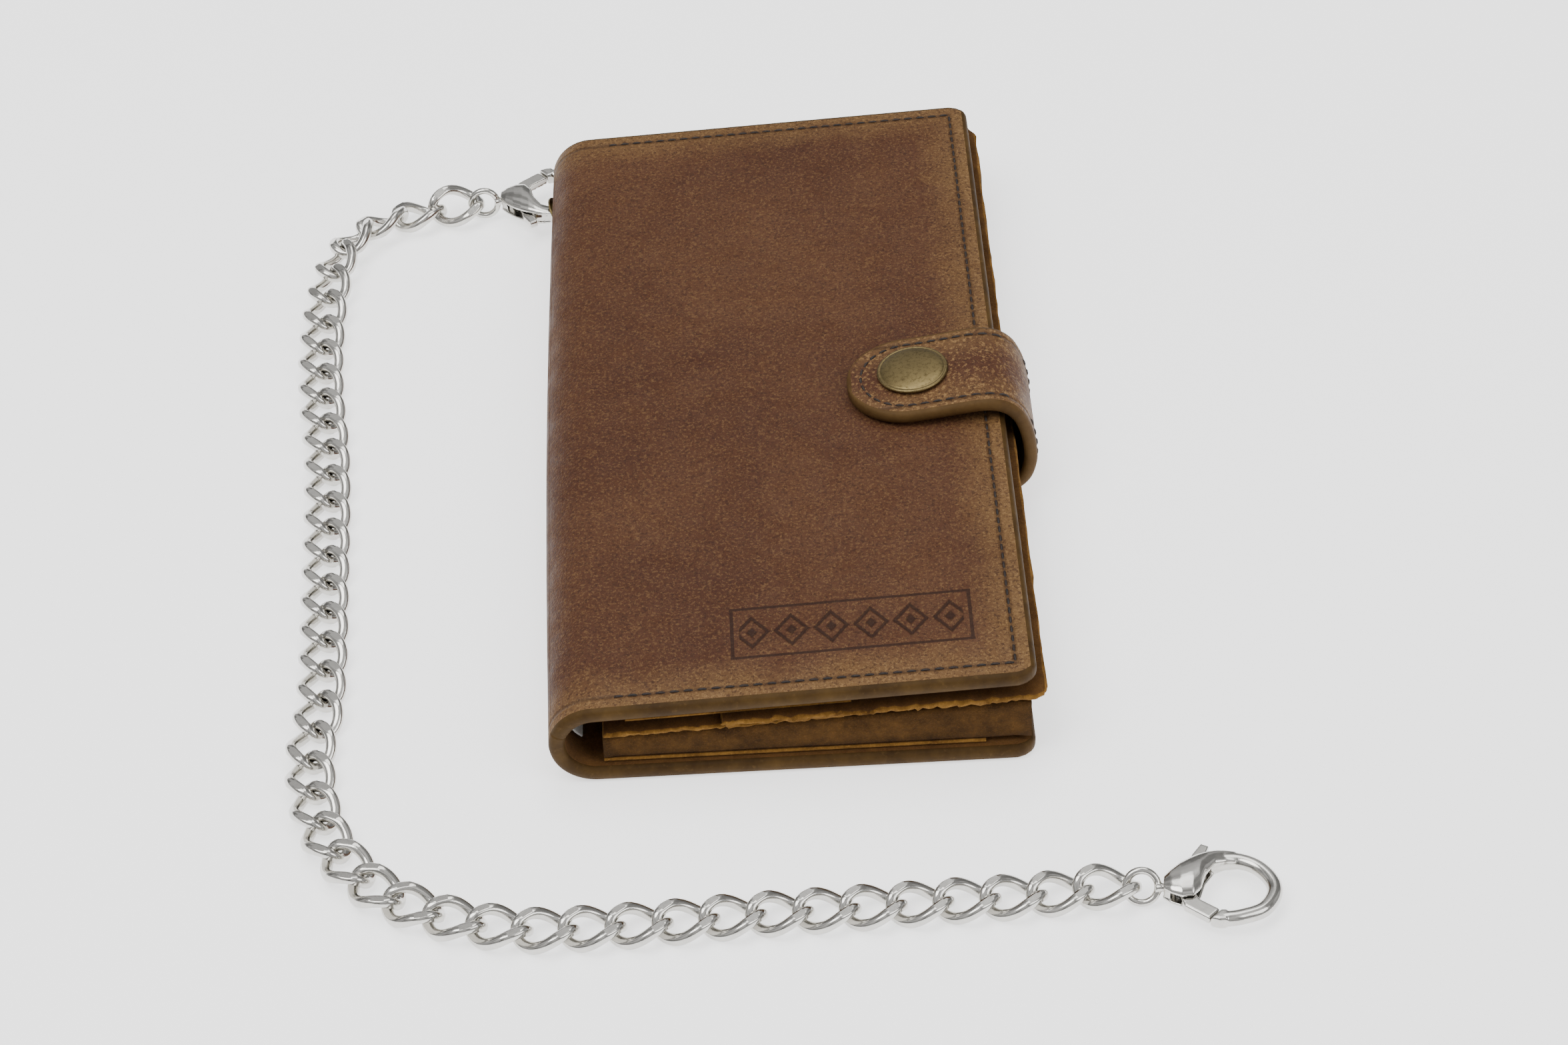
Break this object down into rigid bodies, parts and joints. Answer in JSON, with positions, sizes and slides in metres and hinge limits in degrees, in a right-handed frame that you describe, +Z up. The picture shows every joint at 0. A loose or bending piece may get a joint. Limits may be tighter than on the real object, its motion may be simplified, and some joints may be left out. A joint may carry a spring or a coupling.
{
  "type": "chain wallet",
  "caption": "Long leather wallet folded round a half-round spine, with a snap strap and coin pouch, and a curb chain between two swivel lobster clasps.",
  "frame": {"origin": "on the flat underside of the back cover, in the middle of the closed wallet", "axes": "+X to the snap strap side, +Y along the wallet to the end whose spine holds the chain, +Z up through the front cover"},
  "size_m": [0.1939, 0.2463, 0.0277],
  "materials": {
    "waxed_leather": "waxed, worn at the edges",
    "suede": "raw suede",
    "dark_suede": "suede",
    "card_leather": "smooth",
    "white_sheet": "matte",
    "nickel": "polished nickel plate",
    "spring_steel": "bare",
    "antique_brass": "antiqued"
  },
  "bodies": {
    "wallet": {"back_cover": "waxed_leather", "back_lining": "dark_suede", "spine_base": "waxed_leather", "insert_sheet": "white_sheet", "pouch_gusset": "dark_suede", "pouch_panel": "suede", "pouch_flap": "suede", "strap_root": "waxed_leather", "chain_eyelet": "antique_brass", "clasp_body_wallet_end": "nickel", "clasp_pin_wallet_end": "nickel", "clasp_spring_wallet_end": "spring_steel", "clasp_body_free_end": "nickel", "clasp_pin_free_end": "nickel", "clasp_spring_free_end": "spring_steel", "chain_links_01_02": "nickel", "chain_links_03_04": "nickel", "chain_links_05_06": "nickel", "chain_links_07_08": "nickel", "chain_links_09_10": "nickel", "chain_links_11_12": "nickel", "chain_links_13_14": "nickel", "chain_links_15_16": "nickel", "chain_links_17_18": "nickel", "chain_links_19_20": "nickel", "chain_links_21_22": "nickel", "chain_links_23_24": "nickel", "chain_links_25_26": "nickel", "chain_links_27_28": "nickel", "chain_links_29_30": "nickel", "chain_links_31_32": "nickel", "chain_links_33_34": "nickel", "chain_links_35_36": "nickel", "chain_links_37_38": "nickel", "chain_links_39_40": "nickel", "chain_links_41_42": "nickel", "chain_links_43_44": "nickel"},
    "spine_1": {"spine_fold_1": "waxed_leather"},
    "spine_2": {"spine_fold_2": "waxed_leather"},
    "spine_3": {"spine_fold_3": "waxed_leather"},
    "cover": {"front_cover": "waxed_leather", "card_pocket_1": "card_leather", "card_pocket_2": "card_leather", "card_pocket_3": "card_leather", "snap_stud": "antique_brass"},
    "strap_bend": {"strap_loop": "waxed_leather"},
    "strap_end": {"strap_tab": "waxed_leather", "snap_cap": "antique_brass", "snap_socket": "antique_brass"},
    "gate_wallet_end": {"clasp_gate_wallet_end": "nickel"},
    "gate_free_end": {"clasp_gate_free_end": "nickel"},
    "eye_wallet_end": {"swivel_eye_wallet_end": "nickel"},
    "eye_free_end": {"swivel_eye_free_end": "nickel"}
  },
  "joints": [
    {"name": "cover_open", "type": "hinge", "parent": "wallet", "child": "spine_1", "pos_m": [-0.04736, 0, 0.01091], "axis": [0, -1, 0], "range_deg": [0, 37.5]},
    {"name": "spine_bend_2", "type": "hinge", "parent": "spine_1", "child": "spine_2", "pos_m": [-0.04575, 0, 0.01473], "axis": [0, -1, 0], "range_deg": [0, 37.5]},
    {"name": "spine_bend_3", "type": "hinge", "parent": "spine_2", "child": "spine_3", "pos_m": [-0.04264, 0, 0.01747], "axis": [0, -1, 0], "range_deg": [0, 37.5]},
    {"name": "cover_bend", "type": "hinge", "parent": "spine_3", "child": "cover", "pos_m": [-0.03864, 0, 0.01859], "axis": [0, -1, 0], "range_deg": [0, 37.5]},
    {"name": "strap_open", "type": "hinge", "parent": "wallet", "child": "strap_bend", "pos_m": [0.04898, -0.0055, 0.00287], "axis": [0, 1, 0], "range_deg": [0, 60]},
    {"name": "strap_tip_bend", "type": "hinge", "parent": "strap_bend", "child": "strap_end", "pos_m": [0.05144, -0.0055, 0.02334], "axis": [0, 1, 0], "range_deg": [0, 60]},
    {"name": "clasp_gate_wallet_end", "type": "hinge", "parent": "wallet", "child": "gate_wallet_end", "pos_m": [-0.05643, 0.0928, 0.00495], "axis": [0.0872, 0, -0.9962], "range_deg": [0, 25]},
    {"name": "clasp_gate_free_end", "type": "hinge", "parent": "wallet", "child": "gate_free_end", "pos_m": [0.07103, -0.13636, 0.0034], "axis": [0, 0, 1], "range_deg": [0, 25]},
    {"name": "eye_turn_wallet_end", "type": "hinge", "parent": "wallet", "child": "eye_wallet_end", "pos_m": [-0.0639, 0.0923, 0.0043], "axis": [0.9962, 0, 0.0872], "range_deg": [-15, 15]},
    {"name": "eye_turn_free_end", "type": "hinge", "parent": "wallet", "child": "eye_free_end", "pos_m": [0.06364, -0.13498, 0.0034], "axis": [0.9931, -0.1174, 0], "range_deg": [-30, 12]}
  ],
  "couplings": [
    {"joint": "spine_bend_2", "follows": "cover_open", "ratio": 1},
    {"joint": "spine_bend_3", "follows": "cover_open", "ratio": 1},
    {"joint": "cover_bend", "follows": "cover_open", "ratio": 1},
    {"joint": "strap_tip_bend", "follows": "strap_open", "ratio": 1}
  ]
}
